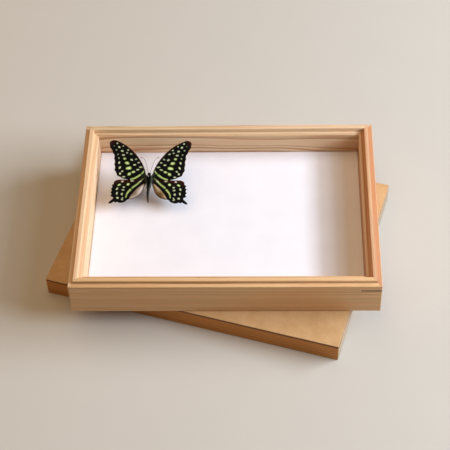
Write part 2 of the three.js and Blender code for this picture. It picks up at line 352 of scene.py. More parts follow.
for side, cut in drawerRails.items():
    pine = pineWood(f"pineDrawer{side.title()}", **cut)
    sandedCopy(f"drawer_side_{side}", f"drawer_rail_{side}", pine, "pine")
for side, cut in lidRails.items():
    sandedCopy(f"lid_side_{side}", f"lid_rail_{side}", pineWood(f"pineLid{side.title()}", **cut), "pine")
print("rails sanded")

keyWood = pineWood("pineKeys", turn=math.pi / 4, pith=(30, -60), shift=(3, 5, 2))
darkKeyWood = pineWood("walnutKey", turn=-math.pi / 4, pith=(20, -40), early="#7A4A26", middle="#65401F",
                       late="#482A13", blush="#65401F")
for corner in ("front_left", "front_right", "back_left", "back_right"):
    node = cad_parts[f"corner_key_{corner}"]
    node.data.materials.clear()
    node.data.materials.append(darkKeyWood if corner == "front_right" else keyWood)

sandedCopy("lid_board", "lid_top_board", pressedBoard("hardboardLid", lidTurn), "hardboard")
sandedCopy("drawer_bottom", "drawer_bottom_board", pressedBoard("hardboardBottom", 0), "hardboard")
print("boards and keys done")


# foam sheet: gridded, with soft cut edges and a faint swell, and a pinched dimple round the pin
def foamSheet(pinFoot):
    look = foamLook
    low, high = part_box("pinning_foam")
    radius = look["edgeRadius"] * mm
    steps = (100, 68)
    work = bmesh.new()
    bmesh.ops.create_cube(work, size=1.0)
    for vert in work.verts:
        for axis in range(3):
            vert.co[axis] = high[axis] if vert.co[axis] > 0 else low[axis]
    bmesh.ops.bevel(work, geom=work.edges[:], offset=radius, segments=4, profile=0.5, affect="EDGES")
    for axis, count in enumerate(steps):
        for i in range(1, count):
            cut = Vector((0, 0, 0))
            cut[axis] = low[axis] + (high[axis] - low[axis]) * i / count
            facing = Vector((0, 0, 0))
            facing[axis] = 1
            bmesh.ops.bisect_plane(work, geom=work.verts[:] + work.edges[:] + work.faces[:],
                                   plane_co=cut, plane_no=facing)
    for vert in work.verts:
        if vert.co.z > high.z - 0.1 * mm:
            swell = noise.noise(Vector((vert.co.x * 18, vert.co.y * 18, 0.3)))
            fromPin = math.hypot(vert.co.x - pinFoot.x, vert.co.y - pinFoot.y) / mm
            vert.co.z -= look["swell"] * mm * (0.5 - 0.5 * swell) + 0.5 * mm * math.exp(-(fromPin / 2.5) ** 2)
    mesh = bpy.data.meshes.new("pinning_foam_sheet")
    work.to_mesh(mesh)
    work.free()
    for polygon in mesh.polygons:
        polygon.use_smooth = True
    sheet = pieceFrom("pinning_foam_sheet", mesh, whiteFoam(), "white_foam", "pinning_foam")
    return sheet


# butterfly frame: x to the right wing, y to the head, z up from the wings, in mm
setting = {
    "tilt": 14.0,              # degrees, head end up
    "yaw": -1.1,               # degrees
    "fromFoam": (-88.6, 43.4, 25.0),   # mm, from the middle of the foam to the wing roots
    "pinPlace": -1.5,
}
foamLow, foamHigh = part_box("pinning_foam")
turnIn = (Matrix.Rotation(math.radians(setting["tilt"]), 4, "X")
          @ Matrix.Rotation(math.radians(setting["yaw"]), 4, "Z"))
thorax = (foamLow + foamHigh) / 2 + Vector(setting["fromFoam"]) * mm
toFrame = Matrix.Translation(thorax) @ turnIn @ Matrix.Scale(mm, 4)
foamTop = foamHigh.z


def alongPin(z):
    return toFrame @ Vector((0, setting["pinPlace"], z))


reach = (alongPin(0).z - foamTop) / (alongPin(0).z - alongPin(-1).z)
foamSheet(alongPin(-reach))
print("foam laid, thorax at", [round(c / mm, 1) for c in thorax])


# smooth line through a few points, as [x, y] rows
def smoothLine(points, perPiece=10):
    points = [np.array(p, float) for p in points]
    padded = [2 * points[0] - points[1], *points, 2 * points[-1] - points[-2]]
    rows = []
    for a, b, c, d in zip(padded, padded[1:], padded[2:], padded[3:]):
        for t in np.linspace(0, 1, perPiece, endpoint=False):
            rows.append(0.5 * (2 * b + (c - a) * t + (2 * a - 5 * b + 4 * c - d) * t * t
                               + (3 * b - a - 3 * c + d) * t ** 3))
    rows.append(points[-1])
    return np.array(rows)


# the line again with points evenly spaced along it
def evenly(line, spacing):
    lengths = np.concatenate([[0], np.cumsum(np.linalg.norm(np.diff(line, axis=0), axis=1))])
    count = max(2, int(lengths[-1] / spacing))
    at = np.linspace(0, lengths[-1], count + 1)
    return np.stack([np.interp(at, lengths, line[:, i]) for i in (0, 1)], axis=1)


# bites shallow scallops out of a margin, leaving a small tooth at each vein end
def scalloped(line, count, bite):
    lengths = np.concatenate([[0], np.cumsum(np.linalg.norm(np.diff(line, axis=0), axis=1))])
    along = np.gradient(line, axis=0)
    inward = np.stack([along[:, 1], -along[:, 0]], axis=1)
    inward /= np.linalg.norm(inward, axis=1)[:, None]
    dip = bite * np.abs(np.sin(np.pi * count * lengths / lengths[-1])) ** 0.8
    return line + inward * dip[:, None]


def smoothStep(low, high, value):
    t = np.clip((value - low) / (high - low), 0, 1)
    return t * t * (3 - 2 * t)


# distance from points to a line of points
def toLine(points, line):
    best = np.full(len(points), 1e9)
    for a, b in zip(line[:-1], line[1:]):
        ab = b - a
        t = np.clip(((points - a) @ ab) / max(ab @ ab, 1e-9), 0, 1)
        best = np.minimum(best, np.linalg.norm(points - (a + t[:, None] * ab), axis=1))
    return best


def insideOf(points, outline):
    inside = np.zeros(len(points), bool)
    x, y = points[:, 0], points[:, 1]
    for (ax, ay), (bx, by) in zip(outline, np.roll(outline, -1, axis=0)):
        if ay == by:
            continue
        crossing = (ay > y) != (by > y)
        inside ^= crossing & (x < (bx - ax) * (y - ay) / (by - ay) + ax)
    return inside


wingCut = {
    "grid": 0.42,              # mm between mesh points
    "thickness": 0.16,         # mm, scales included
    "veinHeight": 0.09,        # mm
    "veinWidth": 0.28,         # mm
}

foreWing = {
    "level": 0.4,
    "leading": [[1.6, 2.2], [3.3, 3.6], [4.3, 6.2], [5.6, 11], [9.6, 20], [17, 31.2], [26.8, 41.2],
                [37.5, 47.6], [42.6, 48.5], [46.2, 46.2]],
    "outer": [[46.2, 46.2], [47, 42.8], [44.4, 36], [41.6, 29.6], [40.7, 20], [40.0, 8.6], [36.2, 1.6],
              [30.6, -0.9]],
    "scallops": 7,
    "bite": 0.9,
    "inner": [[30.6, -0.9], [21, -2.8], [10, -0.7], [4, 0.9], [1.6, 1.4]],
    # each vein from the base or the cell to the margin
    "veins": [
        [[1.8, 3.2], [6.6, 11.5], [12.5, 20.5], [21, 30.6], [31.5, 39.6], [43.4, 46.6]],
        [[1.8, 3.0], [8.2, 11.6], [15.8, 20.2], [22.6, 27.4], [26.4, 30.6]],
        [[26.4, 30.6], [34, 37], [44.8, 43.4]],
        [[26.4, 30.6], [35, 35], [45.2, 38.6]],
        [[27.6, 27.8], [35, 31], [42.6, 33.2]],
        [[28.2, 24.2], [35, 26.6], [41.2, 27.6]],
        [[27.2, 19.0], [34, 21.4], [40.7, 21.4]],
        [[26.4, 30.6], [28.4, 27], [27.2, 19.0], [22.4, 14.2]],
        [[1.8, 2.4], [9, 7.4], [16, 11.2], [22.4, 14.2], [31, 16], [40.4, 15.2]],
        [[14.6, 10.4], [24, 10], [39.2, 9.2]],
        [[1.8, 2.0], [10, 4.2], [20, 3.4], [36, 3.4]],
    ],
}

hindWing = {
    "level": -0.4,
    "leading": [[1.6, 2.4], [6, 1.9], [12, 0.8], [24.5, -2.1], [36.0, -2.3], [40.8, -5.2]],
    "outer": [[40.4, -4.8], [42.3, -7.8], [43.1, -11.4], [43.5, -15.6], [43.5, -19.6], [43.2, -22.8]],
    "scallops": 4,
    "bite": 1.5,
    "tail": [[43.2, -22.8], [41.0, -24.0], [39.8, -24.8], [40.0, -26.1], [42.0, -28.2], [44.4, -30.8],
             [44.5, -31.9], [43.4, -32.4], [40.6, -31.2], [38.6, -29.9]],
    "lower": [[38.6, -29.9], [36.8, -31.0], [34.7, -30.3], [32.2, -31.3], [29.2, -31.2], [26.0, -29.9],
              [22.4, -26.9], [18.4, -26.6]],
    "inner": [[18.4, -26.6], [12.6, -24], [8, -18.8], [5, -11.5], [3.2, -5.5], [1.2, -3.4]],
    "veins": [
        [[1.8, 0.9], [12, -1.2], [24, -4.4], [34, -5.4], [40.4, -6.6]],
        [[1.8, 0.4], [10, -3.4], [17.6, -7.4], [24, -10.2]],
        [[24, -10.2], [32, -10.4], [41.6, -11.6]],
        [[24.6, -12.6], [32, -16], [41.8, -16.9]],
        [[24.0, -15.0], [32, -21], [40.4, -22.6]],
        [[22.6, -16.0], [32, -24.6], [42.8, -31.2]],
        [[24, -10.2], [25.2, -12.8], [22.6, -16.0], [19.0, -15.6]],
        [[1.8, -0.6], [8.4, -6.4], [14.2, -11.6], [19.0, -15.6], [25.2, -22.6], [31.6, -30.2]],
    ],
}

# each spot: across, along, half width, half height, slant in degrees, strength
foreSpots = [
    [37.6, 44.6, 1.1, 0.9, 20, 0.85], [41, 41.3, 0.8, 0.8, 0, 0.25], [30.9, 41.1, 0.8, 0.8, 0, 0.8],
    [35.4, 39.9, 1.4, 1, 30, 1], [38.5, 36.1, 0.9, 0.8, 0, 0.75], [32, 34.7, 1.5, 1.2, 28, 1],
    [25.3, 35.9, 1, 0.8, 0, 0.85], [26.4, 32.3, 1, 0.9, 0, 0.7], [36.6, 30.3, 0.8, 0.9, 0, 0.5],
    [30.4, 29.2, 1.7, 1.1, 12, 1], [21.6, 30.7, 1.4, 0.8, 25, 0.9], [35.5, 25.1, 0.8, 1.1, 0, 0.5],
    [28.7, 24.4, 1.7, 1.4, 4, 1], [21.2, 23.3, 1.4, 0.8, -30, 0.8], [20.3, 22.4, 0.8, 0.9, 0, 0.8],
    [15.8, 23.6, 1.4, 0.8, -25, 0.7], [34.9, 19, 1, 1.6, 15, 0.95], [25.9, 18.5, 2.6, 1.8, 14, 1.1],
    [12.8, 19.2, 1.5, 0.8, -5, 0.85], [17.1, 16.3, 1.6, 0.9, -5, 1], [34.1, 12.6, 1.1, 1.8, 26, 1],
    [23.7, 11.9, 3.2, 1.9, -8, 1.15], [10, 13.4, 1.9, 0.9, 8, 1], [13.5, 10.1, 1.8, 0.9, -12, 1],
    [31.2, 7.9, 1.3, 0.9, -20, 0.95], [33.5, 4.9, 1.1, 1.2, 0, 1], [18.2, 7.2, 2.1, 1.2, -15, 1.1],
    [23, 4.4, 2.3, 1.6, -34, 1.15], [29.2, 0.9, 1.7, 0.8, -5, 1],
]
foreStripes = [
    {"line": [[6.2, 8.7], [7.0, 7.2], [8.3, 5.5]], "width": [0.55, 0.85], "strength": 1.0},
    {"line": [[10.3, 3.6], [13.6, 0.9], [17.2, -1.1], [20.8, -2.1]], "width": [1.05, 0.8], "strength": 1.0},
]
hindSpots = [
    [30.5, -4.3, 1.2, 1, 0, 0.9], [19.4, -3.5, 1.8, 0.9, 0, 1.3], [9.9, -4.2, 1.4, 0.9, -40, 0.9],
    [33.8, -8.6, 2, 1.1, -25, 1], [23.6, -7.9, 1.7, 1.4, -25, 1], [36, -13.7, 1, 1.6, 25, 1],
    [28.4, -11.5, 1.2, 1, 0, 0.95], [29.1, -15, 1.5, 0.9, 12, 1], [35.8, -19.5, 0.9, 1.7, 15, 1],
    [30, -20.4, 1.2, 1.4, 0, 1], [34.6, -25.4, 1.5, 1.1, 15, 1], [28.9, -25.4, 0.8, 0.9, 0, 0.9],
    [29.3, -27.3, 1.3, 0.8, 30, 0.9],
]
hindStripes = [
    {"line": [[5.0, 1.4], [8.6, -2.6], [13.2, -7.6], [18.5, -12.2]],
     "width": [0.7, 1.05], "strength": 0.85},
    {"line": [[20.6, -14.9], [22.9, -17.6], [24.4, -20.8], [25.2, -24.4]],
     "width": [1.2, 0.6], "strength": 1.0},
]

# the pale folded flap along the inner margin of the hindwing
flap = {
    "outline": [[5.0, -5.8], [8.6, -8.8], [13.4, -13.6], [18.4, -20.0], [21.4, -25.6], [18.4, -26.6],
                [12.6, -24], [8, -18.8], [5, -11.5]],
    "rise": 1.6,               # mm that the flap stands above the wing
}

scaleColours = {
    "black": "#060504",
    "brown": "#40190B",
    "green": "#B4D06E",
    "paleGreen": "#DDEAB0",
    "smallSpot": "#DFDFCC",
    "stripeGreen": "#B3CA74",
    "blush": "#EBD4C6",
    # flap tones per side: the left ones are lighter as painted light, the right ones darker as painted shade,
    # and the darker tone of each side is a painted shade pool in the flap's middle
    "flapPaleRight": "#AE9472",
    "flapHollowRight": "#6E5222",
    "flapPaleLeft": "#CDBEAE",
    "flapHollowLeft": "#9C8875",
    "flapRim": "#3E1C10",
    "vein": "#0C0806",
    "hair": "#4C5340",
}
linear = {name: np.array(hexColour(code)[:3]) for name, code in scaleColours.items()}


def blendTo(colours, target, amount):
    return colours + (target - colours) * amount[:, None]


def spotMask(points, spot, wobble):
    x, y, halfWidth, halfHeight, slant = spot[:5]
    c, s = math.cos(math.radians(slant)), math.sin(math.radians(slant))
    dx, dy = points[:, 0] - x, points[:, 1] - y
    away = np.hypot((dx * c + dy * s) / halfWidth, (dy * c - dx * s) / halfHeight) + wobble
    edge = 0.22 / min(halfWidth, halfHeight)
    return 1 - smoothStep(1 - edge, 1 + edge, away), away


def stripeMask(points, stripe):
    line = smoothLine(stripe["line"], 6)
    along = np.argmin(np.linalg.norm(points[:, None] - line[None], axis=2), axis=1) / (len(line) - 1)
    width = np.interp(along, [0, 1], stripe["width"])
    away = toLine(points, line)
    return 1 - smoothStep(width - 0.25, width + 0.25, away)


# black scales, brown borders, green spots that fade at the rim, and fine grain from scale to scale
def paintWing(points, look, spots, stripes, edgeLine, rng, isHind, sideName):
    colours = np.tile(linear["black"], (len(points), 1))
    grain = rng.uniform(0.75, 1.25, len(points))
    border = toLine(points, edgeLine)
    brownness = np.exp(-(border / 1.1) ** 2) * 0.75
    if not isHind:
        tip = smoothStep(50, 57, points[:, 0] * 0.6 + points[:, 1] * 0.62)
        brownness = np.maximum(brownness, 0.8 * tip)
    colours = blendTo(colours, linear["brown"], np.clip(brownness, 0, 1))
    layer = 3.1 if isHind else 0.7
    wobble = np.array([0.22 * noise.noise(Vector((x * 0.8, y * 0.8, layer))) for x, y in points])
    for spot in spots:
        mask, away = spotMask(points, spot, wobble)
        heart = smoothStep(0.1, 0.75, 1 - away)[:, None]
        tone = linear["green"] + (linear["paleGreen"] - linear["green"]) * heart
        if spot[2] * spot[3] < 2.0:
            tone = tone * 0.55 + linear["smallSpot"] * 0.45
        colours = colours + (tone - colours) * (mask * min(spot[5], 1.0))[:, None]
    for stripe in stripes:
        mask = stripeMask(points, stripe) * stripe["strength"]
        colours = blendTo(colours, linear["stripeGreen"], mask)
    veinGap = np.min([toLine(points, smoothLine(v, 4)) for v in look["veins"]], axis=0)
    colours = blendTo(colours, linear["vein"], 0.75 * np.exp(-(veinGap / 0.22) ** 2))
    if isHind:
        pinkish = 0.9 * spotMask(points, spots[0], wobble)[0] + 0.5 * spotMask(points, spots[1], wobble)[0]
        colours = blendTo(colours, linear["blush"], np.clip(pinkish, 0, 1))
        colours = blendTo(colours, linear["smallSpot"], 0.8 * spotMask(points, spots[2], wobble)[0])
        outline = smoothLine(flap["outline"] + flap["outline"][:1], 6)
        within = insideOf(points, outline)
        rim = toLine(points, outline)
        depth = np.where(within, rim, 0)
        # pale towards the body, lighter on the left flap as painted light and darker on the right as painted
        # shade, browner in the middle as a painted shade pool, with fine dark lines of painted crease shade
        # along its length
        across = (points[:, 0] - 5.5) * 0.62 + (points[:, 1] + 11) * 0.78
        shadePool = np.exp(-((points[:, 0] - 14.5) / 4.2) ** 2 - ((points[:, 1] + 20.5) / 4.6) ** 2)
        creaseShade = 1 - 0.16 * np.sin(across * 5.2 + 0.5 * np.sin(points[:, 1] * 0.5)) ** 8
        palest, shadedTone = linear["flapPale" + sideName], linear["flapHollow" + sideName]
        flapTone = (palest + (shadedTone - palest) * shadePool[:, None]) * creaseShade[:, None]
        colours = colours + (flapTone - colours) * smoothStep(0.1, 0.6, depth)[:, None]
        margin = toLine(points, smoothLine(look["inner"]))
        darkLine = 0.9 * np.exp(-(margin / 1.0) ** 2) * smoothStep(7, 11, -points[:, 1])
        colours = blendTo(colours, linear["flapRim"], np.maximum(darkLine, 0.9 * np.exp(-(rim / 0.32) ** 2)))
        upper = np.exp(-(toLine(points, smoothLine(look["leading"])) / 3.6) ** 2)
        colours = blendTo(colours, linear["brown"], 0.8 * upper * (colours.sum(axis=1) < 0.08))
    root = np.exp(-(np.hypot(points[:, 0], points[:, 1] - 1.0) / 5.5) ** 2)
    colours = blendTo(colours, linear["hair"], 0.55 * root)
    return colours * grain[:, None], veinGap


def wingOutline(look, isHind):
    spacing = wingCut["grid"] * 0.9
    outer = scalloped(evenly(smoothLine(look["outer"]), spacing), look["scallops"], look["bite"])
    parts = [evenly(smoothLine(look["leading"]), spacing), outer]
    if isHind:
        parts += [evenly(smoothLine(look["tail"]), spacing), evenly(smoothLine(look["lower"]), spacing)]
    parts.append(evenly(smoothLine(look["inner"]), spacing))
    return np.concatenate([p[:-1] for p in parts] + [parts[-1][-1:]])


# gentle set of a dried wing: a raised leading edge, a shallow trough and a slightly turned margin
def wingHeight(points, look, veinGap, isHind):
    x, y = points[:, 0], points[:, 1]
    height = 0.010 * x + 0.5 * np.sin(x / 15 + 0.6) - 0.28
    if not isHind:
        height += 0.45 * np.exp(-toLine(points, smoothLine(look["leading"])) / 3.0)
        height += 0.25 * np.sin(y / 6.5) * smoothStep(8, 30, x) - 1.0 * smoothStep(18, 46, y)
    else:
        outline = smoothLine(flap["outline"] + flap["outline"][:1], 6)
        depth = np.where(insideOf(points, outline), toLine(points, outline), 0)
        height += flap["rise"] * smoothStep(0, 3.4, depth) - 0.5
        height += 0.22 * np.sin((y + 2) / 4.6) * smoothStep(12, 34, x)
    ridge = wingCut["veinHeight"] * np.exp(-(veinGap / wingCut["veinWidth"]) ** 2)
    return look["level"] + height, ridge


wingMaterials = {}


# butterfly wing, scaled: soft matt black with a faint sheen of overlapping scales
def wingScales():
    material, tree, shader = newMaterial("wingScales")
    painted = addNode(tree, "ShaderNodeVertexColor", layer_name="scales")
    place = grainSpace(tree, 0, (0, 0, 0))
    # rows of scales, about 0.3 mm
    rows = addNode(tree, "ShaderNodeTexVoronoi", {"Vector": place, "Scale": 3.2})
    tone = addNode(tree, "ShaderNodeMapRange",
                   {"Value": rows.outputs["Distance"], "From Max": 0.8, "To Min": 1.12, "To Max": 0.8})
    scaled = addNode(tree, "ShaderNodeMix", {"Factor": 1.0, "A": painted.outputs["Color"],
                                             "B": tone.outputs[0]}, data_type="RGBA", blend_type="MULTIPLY")
    bump = addNode(tree, "ShaderNodeBump", {"Height": rows.outputs["Distance"], "Strength": 0.3,
                                            "Distance": 0.04 * mm})
    tree.links.new(scaled.outputs["Result"], shader.inputs["Base Color"])
    tree.links.new(bump.outputs[0], shader.inputs["Normal"])
    shader.inputs["Roughness"].default_value = 0.8
    shader.inputs["IOR"].default_value = 1.45
    shader.inputs["Specular IOR Level"].default_value = 0.12
    return material


def buildWing(name, node, look, spots, stripes, side, seed, isHind, spread=(1.0, 1.0)):
    rng = np.random.default_rng(seed)
    outline = wingOutline(look, isHind)
    grid = wingCut["grid"]
    low, high = outline.min(0), outline.max(0)
    rows = []
    for j, y in enumerate(np.arange(low[1], high[1], grid * 0.866)):
        xs = np.arange(low[0] + (grid / 2 if j % 2 else 0), high[0], grid)
        rows.append(np.stack([xs, np.full(len(xs), y)], axis=1))
    inner = np.concatenate(rows)
    inner = inner[insideOf(inner, outline)]
    inner = inner[toLine(inner, np.concatenate([outline, outline[:1]])) > grid * 0.45]
    every = np.concatenate([outline, inner])
    rim = len(outline)
    edges = [(i, (i + 1) % rim) for i in range(rim)]
    verts, _, faces, _, _, _ = delaunay_2d_cdt([Vector(p) for p in every], edges, [], 2, 1e-5)
    points = np.array([[v.x, v.y] for v in verts])
    edgeLine = np.concatenate([smoothLine(look["leading"]), smoothLine(look["outer"])])
    sideName = "Right" if side > 0 else "Left"
    colours, veinGap = paintWing(points, look, spots, stripes, edgeLine, rng, isHind, sideName)
    middleHeight, ridge = wingHeight(points, look, veinGap, isHind)
    half = wingCut["thickness"] / 2
    count = len(points)
    top = np.column_stack([points, middleHeight + half + ridge])
    under = np.column_stack([points, middleHeight - half - ridge])
    shell = [tuple(f) for f in faces] + [tuple(count + i for i in reversed(f)) for f in faces]
    # the rim joins the two skins
    used = {}
    for face in faces:
        for a, b in zip(face, face[1:] + face[:1]):
            used[(a, b)] = used.get((a, b), 0) + 1
    for a, b in list(used):
        if (b, a) not in used:
            shell.append((b, a, a + count, b + count))
    coords = np.concatenate([top, under])
    # the left pair dried a little narrower below and wider at its tip: spread is given for both
    coords[:, 0] *= side * np.interp(coords[:, 1], (5, 42), spread)
    if side < 0:
        shell = [tuple(reversed(f)) for f in shell]
    mesh = bpy.data.meshes.new(name)
    mesh.from_pydata([toFrame @ Vector(c) for c in coords], [], shell)
    mesh.update()
    layer = mesh.color_attributes.new("scales", "FLOAT_COLOR", "POINT")
    rgba = np.ones((2 * count, 4), np.float32)
    rgba[:count, :3] = colours
    # the underside is browner and paler
    rgba[count:, :3] = colours * 0.75 + linear["brown"] * 0.5
    layer.data.foreach_set("color", rgba.ravel())
    for polygon in mesh.polygons:
        polygon.use_smooth = True
    return pieceFrom(name, mesh, wingMaterials["scales"], "wing_scales", node)


wingMaterials["scales"] = wingScales()
buildWing("forewing_right_set", "forewing_right", foreWing, foreSpots, foreStripes, 1, 11, False)
buildWing("forewing_left_set", "forewing_left", foreWing, foreSpots, foreStripes, -1, 12, False, (0.985, 1.03))
buildWing("hindwing_right_set", "hindwing_right", hindWing, hindSpots, hindStripes, 1, 13, True)
buildWing("hindwing_left_set", "hindwing_left", hindWing, hindSpots, hindStripes, -1, 14, True, (0.985, 0.985))
print("wings painted")


insectLook = {
    "cuticle": "#0A0806",
    "abdomen": "#0E0805",
    "eye": "#1D0F08",
    "flank": "#665E4C",        # pale scales along the sides of the abdomen
    "rear": "#230B07",         # reddish last rings
    "hairPale": "#8B917A",
    "antenna": "#3A3029",
    "hairs": 4800,
    "hairLength": 1.9,         # mm
}


# chitin, dry: near-black brown, half gloss, faintly ringed
def chitin(name, code, roughness, shine=0.15):
    material, tree, shader = newMaterial(name)
    place = grainSpace(tree, 0, (0, 0, 0))
    cloud = addNode(tree, "ShaderNodeTexNoise", {"Vector": place, "Scale": 1.4, "Detail": 3.0})
    dark = hexColour(code)
    light = tuple(min(1, c * 2.2 + 0.006) for c in dark[:3]) + (1,)
    tone = addNode(tree, "ShaderNodeMix", {"Factor": cloud.outputs["Fac"], "A": dark, "B": light},
                   data_type="RGBA")
    bump = addNode(tree, "ShaderNodeBump", {"Height": cloud.outputs["Fac"], "Strength": 0.3,
                                            "Distance": 0.05 * mm})
    tree.links.new(tone.outputs["Result"], shader.inputs["Base Color"])
    tree.links.new(bump.outputs[0], shader.inputs["Normal"])
    shader.inputs["Roughness"].default_value = roughness
    shader.inputs["Specular IOR Level"].default_value = shine
    return material


# hair-like scales: matt, dark on top and grey-green at the sides
def insectHair():
    material, tree, shader = newMaterial("insectHair")
    painted = addNode(tree, "ShaderNodeVertexColor", layer_name="scales")
    tree.links.new(painted.outputs["Color"], shader.inputs["Base Color"])
    shader.inputs["Roughness"].default_value = 0.8
    shader.inputs["Specular IOR Level"].default_value = 0.15
    return material


# rings of points round a bent centre line; each ring is centre, half width, half height
def loft(work, rings, around=20, material=0, flank=None, rear=None, rearFrom=1.0):
    loops = []
    for centre, halfWidth, halfHeight in rings:
        loops.append([work.verts.new((centre[0] + halfWidth * math.cos(2 * math.pi * i / around), centre[1],
                                      centre[2] + halfHeight * math.sin(2 * math.pi * i / around)))
                      for i in range(around)])
    for k, (one, two) in enumerate(zip(loops, loops[1:])):
        for i in range(around):
            j = (i + 1) % around
            face = work.faces.new((one[i], one[j], two[j], two[i]))
            sideways = abs(math.cos(2 * math.pi * (i + 0.5) / around))
            inRear = rear is not None and k > rearFrom * len(rings)
            onFlank = flank is not None and sideways > 0.93
            face.material_index = rear if inRear else flank if onFlank else material
    for loop in (loops[0], list(reversed(loops[-1]))):
        work.faces.new(loop).material_index = material


def ball(work, centre, radii, material):
    made = bmesh.ops.create_uvsphere(work, u_segments=16, v_segments=10, radius=1.0)
    for vert in made["verts"]:
        vert.co = Vector((centre[0] + vert.co.x * radii[0], centre[1] + vert.co.y * radii[1],
                          centre[2] + vert.co.z * radii[2]))
        for face in vert.link_faces:
            face.material_index = material


# a round rod through points, with its own radius at each point
def rod(work, points, radii, around=8, material=0):
    points = [Vector(p) for p in points]
    loops = []
    for i, point in enumerate(points):
        ahead = (points[min(i + 1, len(points) - 1)] - points[max(i - 1, 0)]).normalized()
        side = ahead.cross(Vector((0, 0, 1)))
        side = side.normalized() if side.length > 1e-4 else Vector((1, 0, 0))
        up = side.cross(ahead)
        loops.append([work.verts.new(point + radii[i] * (side * math.cos(2 * math.pi * k / around)
                                                         + up * math.sin(2 * math.pi * k / around)))
                      for k in range(around)])
    for one, two in zip(loops, loops[1:]):
        for k in range(around):
            j = (k + 1) % around
            work.faces.new((one[k], one[j], two[j], two[k])).material_index = material
    for loop in (loops[0], list(reversed(loops[-1]))):
        work.faces.new(loop).material_index = material


def finishInsect(work, name, materials, *nodes):
    bmesh.ops.recalc_face_normals(work, faces=work.faces)
    mesh = bpy.data.meshes.new(name)
    work.to_mesh(mesh)
    work.free()
    mesh.transform(toFrame)
    for polygon in mesh.polygons:
        polygon.use_smooth = True
    return pieceFrom(name, mesh, materials, "insect_hair", *nodes)


# hip, knee, ankle and foot of the three right legs, in mm from the thorax
legJoints = [
    ((1.4, 1.6, -1.5), (3.4, 3.6, -2.6), (1.6, 5.0, -3.8), (0.8, 6.4, -4.2)),
    ((1.6, -1.0, -1.8), (4.2, -1.6, -3.2), (2.2, -5.0, -4.4), (1.4, -7.6, -4.6)),
    ((1.4, -3.4, -1.6), (3.8, -5.4, -3.0), (2.0, -8.8, -4.0), (1.2, -12.0, -4.2)),
]


# head, thorax and ringed abdomen, with eyes, palps, a coiled tongue and folded legs
def insectBody():
    work = bmesh.new()
    rings = [((0, y, 0.3), w, h) for y, w, h in
             [(6.6, 0.3, 0.3), (6.3, 0.9, 0.9), (5.5, 1.4, 1.35), (4.6, 1.45, 1.4), (3.8, 1.05, 1.1),
              (3.1, 1.9, 1.5), (1.9, 3.0, 2.1), (0.2, 3.6, 2.5), (-2.4, 3.6, 2.5), (-5.0, 3.2, 2.3),
              (-7.2, 2.5, 1.9), (-8.8, 1.8, 1.5)]]
    loft(work, rings, 24, 0)
    segments = 8
    abdomen = []
    for i in range(segments * 5 + 1):
        t = i / (segments * 5)
        y = -8.4 - 23.3 * t
        width = 1.5 + 0.3 * math.sin(math.pi * min(1, t * 1.25) ** 0.7) - 0.85 * t ** 2.2
        groove = 1 - 0.10 * (math.cos(2 * math.pi * t * segments) > 0.75)
        end = min(1, (1 - t) * 14) ** 0.5
        radius = max(0.08, width * groove * end)
        abdomen.append(((0.9 * t ** 5 - 0.3 * math.sin(3 * t), y, 0.1 - 0.5 * math.sin(math.pi * t)), radius,
                        radius * 1.05))
    loft(work, abdomen, 20, 1, flank=3, rear=4, rearFrom=0.62)
    for side in (-1, 1):
        ball(work, (side * 1.2, 5.2, 0.45), (0.8, 0.95, 0.9), 2)
        rod(work, [(side * 0.4, 6.2, 0.1), (side * 0.5, 6.6, 0.45), (side * 0.5, 6.7, 1.0)], [0.3, 0.28, 0.1])
        for joints in legJoints:
            leg = [(side * p[0], p[1], p[2]) for p in joints]
            rod(work, leg, [0.26, 0.22, 0.15, 0.09], 7)
    coil = [(0, 5.8 + (0.25 + 0.05 * a) * math.cos(a), -1.5 + (0.25 + 0.05 * a) * math.sin(a))
            for a in np.arange(0.5 * math.pi, 5.2 * math.pi, 0.35)]
    rod(work, coil, [0.1] * len(coil), 6)
    return finishInsect(work, "butterfly_body_set",
                        [chitin("thoraxChitin", insectLook["cuticle"], 0.6),
                         chitin("abdomenChitin", insectLook["abdomen"], 0.55),
                         chitin("eyeChitin", insectLook["eye"], 0.25, 0.5),
                         chitin("flankScales", insectLook["flank"], 0.8),
                         chitin("abdomenTipChitin", insectLook["rear"], 0.6)], "butterfly_body")


